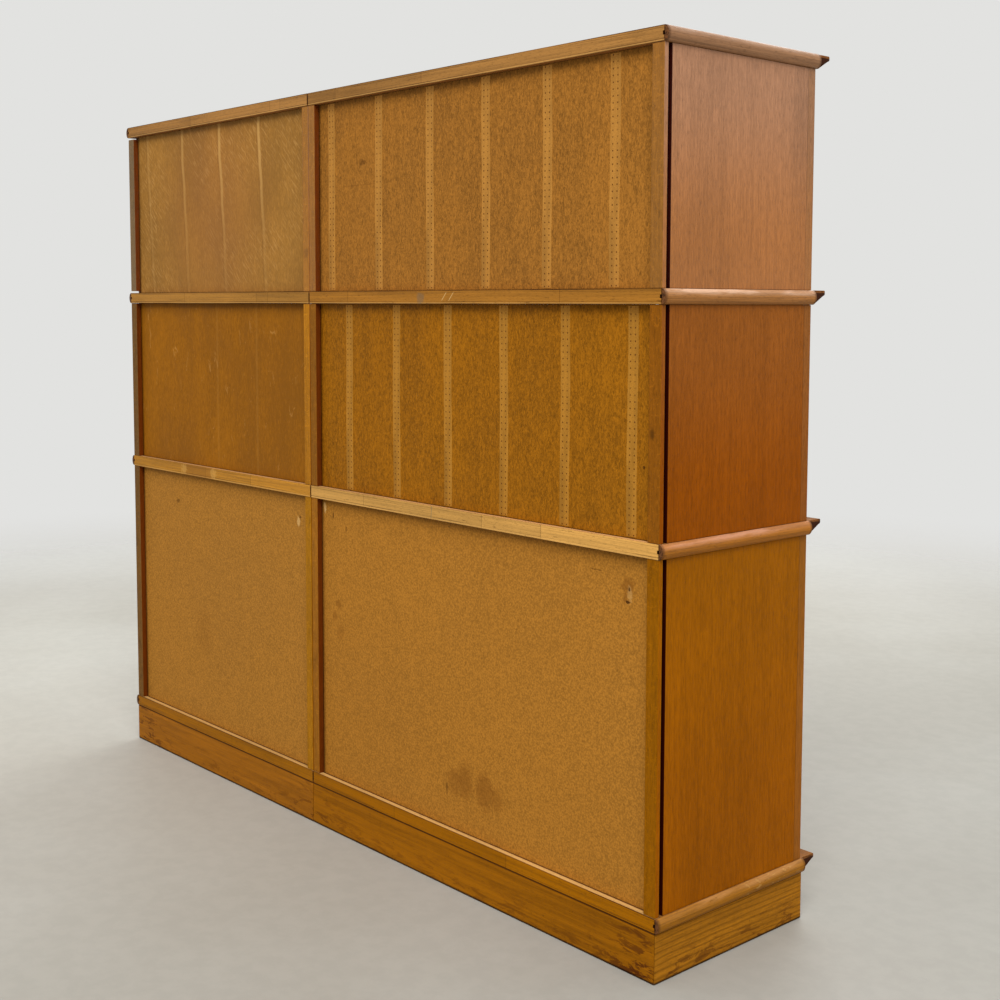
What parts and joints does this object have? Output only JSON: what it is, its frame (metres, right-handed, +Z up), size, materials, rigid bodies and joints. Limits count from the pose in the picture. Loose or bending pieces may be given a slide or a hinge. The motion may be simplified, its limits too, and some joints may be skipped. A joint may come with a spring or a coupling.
{
  "type": "barrister bookcase",
  "caption": "Low, wide sectional oak bookcase on a plinth, in stacked bays, with lifting glazed doors above and sliding solid doors below; back and ends finished.",
  "frame": {"origin": "on the floor under the middle of the bookcase's bounding box", "axes": "+X to the right seen from the front, +Y to the back, +Z up; the doors face -Y"},
  "size_m": [1.6416, 0.3914, 1.409],
  "materials": {
    "oak_edge": "oiled oak edge",
    "oak_moulding": "lacquered oak",
    "oak_veneer": "satin lacquer",
    "oak_door": "satin lacquer",
    "oak_plinth": "worn lacquer",
    "plywood": "unpolished veneer",
    "hardboard": "raw hardboard",
    "pane_glass": "clear",
    "steel": "drawn bar",
    "brass": "aged"
  },
  "bodies": {
    "case": {"wide_plinth_back": "oak_plinth", "wide_plinth_front": "oak_plinth", "wide_plinth_end": "oak_plinth", "wide_base_board": "oak_edge", "wide_base_end_moulding": "oak_moulding", "wide_middle_board": "oak_edge", "wide_middle_end_moulding": "oak_moulding", "wide_upper_board": "oak_edge", "wide_upper_end_moulding": "oak_moulding", "wide_top_board": "oak_edge", "wide_top_end_moulding": "oak_moulding", "wide_lower_outer_side": "oak_veneer", "wide_lower_inner_side": "oak_veneer", "wide_lower_back": "hardboard", "wide_middle_outer_side": "oak_veneer", "wide_middle_inner_side": "oak_veneer", "wide_middle_back": "plywood", "wide_upper_outer_side": "oak_veneer", "wide_upper_inner_side": "oak_veneer", "wide_upper_back": "plywood", "narrow_plinth_back": "oak_plinth", "narrow_plinth_front": "oak_plinth", "narrow_plinth_end": "oak_plinth", "narrow_base_board": "oak_edge", "narrow_base_end_moulding": "oak_moulding", "narrow_middle_board": "oak_edge", "narrow_middle_end_moulding": "oak_moulding", "narrow_upper_board": "oak_edge", "narrow_upper_end_moulding": "oak_moulding", "narrow_top_board": "oak_edge", "narrow_top_end_moulding": "oak_moulding", "narrow_lower_outer_side": "oak_veneer", "narrow_lower_inner_side": "oak_veneer", "narrow_lower_back": "hardboard", "narrow_middle_outer_side": "oak_veneer", "narrow_middle_inner_side": "oak_veneer", "narrow_middle_back": "plywood", "narrow_upper_outer_side": "oak_veneer", "narrow_upper_inner_side": "oak_veneer", "narrow_upper_back": "plywood"},
    "wide_left_door": {"wide_lower_left_sliding_door": "oak_door"},
    "wide_right_door": {"wide_lower_right_sliding_door": "oak_door"},
    "wide_middle_door_rod": {"wide_middle_door_rod": "steel"},
    "wide_middle_door": {"wide_middle_door_frame": "oak_door", "wide_middle_door_glass": "pane_glass", "wide_middle_door_knob": "brass"},
    "wide_upper_door_rod": {"wide_upper_door_rod": "steel"},
    "wide_upper_door": {"wide_upper_door_frame": "oak_door", "wide_upper_door_glass": "pane_glass", "wide_upper_door_knob": "brass"},
    "narrow_left_door": {"narrow_lower_left_sliding_door": "oak_door"},
    "narrow_right_door": {"narrow_lower_right_sliding_door": "oak_door"},
    "narrow_middle_door_rod": {"narrow_middle_door_rod": "steel"},
    "narrow_middle_door": {"narrow_middle_door_frame": "oak_door", "narrow_middle_door_glass": "pane_glass", "narrow_middle_door_knob": "brass"},
    "narrow_upper_door_rod": {"narrow_upper_door_rod": "steel"},
    "narrow_upper_door": {"narrow_upper_door_frame": "oak_door", "narrow_upper_door_glass": "pane_glass", "narrow_upper_door_knob": "brass"}
  },
  "joints": [
    {"name": "wide_left_door_slide", "type": "slide", "parent": "case", "child": "wide_left_door", "axis": [1, 0, 0], "range_m": [0, 0.411]},
    {"name": "wide_right_door_slide", "type": "slide", "parent": "case", "child": "wide_right_door", "axis": [-1, 0, 0], "range_m": [0, 0.411]},
    {"name": "wide_middle_door_retract", "type": "slide", "parent": "case", "child": "wide_middle_door_rod", "axis": [0, 1, 0], "range_m": [0, 0.249]},
    {"name": "wide_middle_door_lift", "type": "hinge", "parent": "wide_middle_door_rod", "child": "wide_middle_door", "pos_m": [-0.3605, -0.14725, 1.002], "axis": [-1, 0, 0], "range_deg": [0, 90]},
    {"name": "wide_upper_door_retract", "type": "slide", "parent": "case", "child": "wide_upper_door_rod", "axis": [0, 1, 0], "range_m": [0, 0.249]},
    {"name": "wide_upper_door_lift", "type": "hinge", "parent": "wide_upper_door_rod", "child": "wide_upper_door", "pos_m": [-0.3605, -0.14725, 1.374], "axis": [-1, 0, 0], "range_deg": [0, 90]},
    {"name": "narrow_left_door_slide", "type": "slide", "parent": "case", "child": "narrow_left_door", "axis": [1, 0, 0], "range_m": [0, 0.3225]},
    {"name": "narrow_right_door_slide", "type": "slide", "parent": "case", "child": "narrow_right_door", "axis": [-1, 0, 0], "range_m": [0, 0.3225]},
    {"name": "narrow_middle_door_retract", "type": "slide", "parent": "case", "child": "narrow_middle_door_rod", "axis": [0, 1, 0], "range_m": [0, 0.249]},
    {"name": "narrow_middle_door_lift", "type": "hinge", "parent": "narrow_middle_door_rod", "child": "narrow_middle_door", "pos_m": [0.449, -0.14725, 1.002], "axis": [-1, 0, 0], "range_deg": [0, 90]},
    {"name": "narrow_upper_door_retract", "type": "slide", "parent": "case", "child": "narrow_upper_door_rod", "axis": [0, 1, 0], "range_m": [0, 0.249]},
    {"name": "narrow_upper_door_lift", "type": "hinge", "parent": "narrow_upper_door_rod", "child": "narrow_upper_door", "pos_m": [0.449, -0.14725, 1.374], "axis": [-1, 0, 0], "range_deg": [0, 90]}
  ]
}
